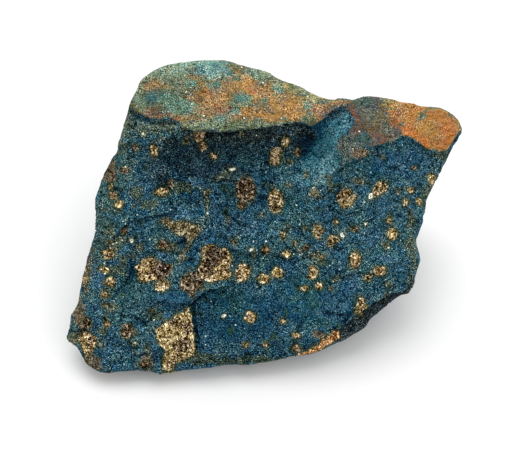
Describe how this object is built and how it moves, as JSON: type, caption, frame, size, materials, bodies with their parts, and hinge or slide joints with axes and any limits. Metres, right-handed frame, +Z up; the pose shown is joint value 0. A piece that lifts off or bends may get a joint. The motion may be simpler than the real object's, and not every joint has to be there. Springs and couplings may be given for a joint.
{
  "type": "aerinite mineral specimen",
  "caption": "Wedge-shaped blue aerinite rock with round tan mineral fillings and a weathered green and orange rind, standing on a flat underside.",
  "frame": {"origin": "middle of the stone's bounding box, on the flat underside", "axes": "+Z up; +X along the stone's length, to the right of someone who faces the broken blue face; the blue face leans back towards +Y"},
  "size_m": [0.0808, 0.0564, 0.038],
  "materials": {
    "stone": "matte, fine-grained blue aerinite rock with tan fillings and a green and orange weathered rind"
  },
  "bodies": {
    "root": {"stone": "stone"}
  },
  "joints": []
}
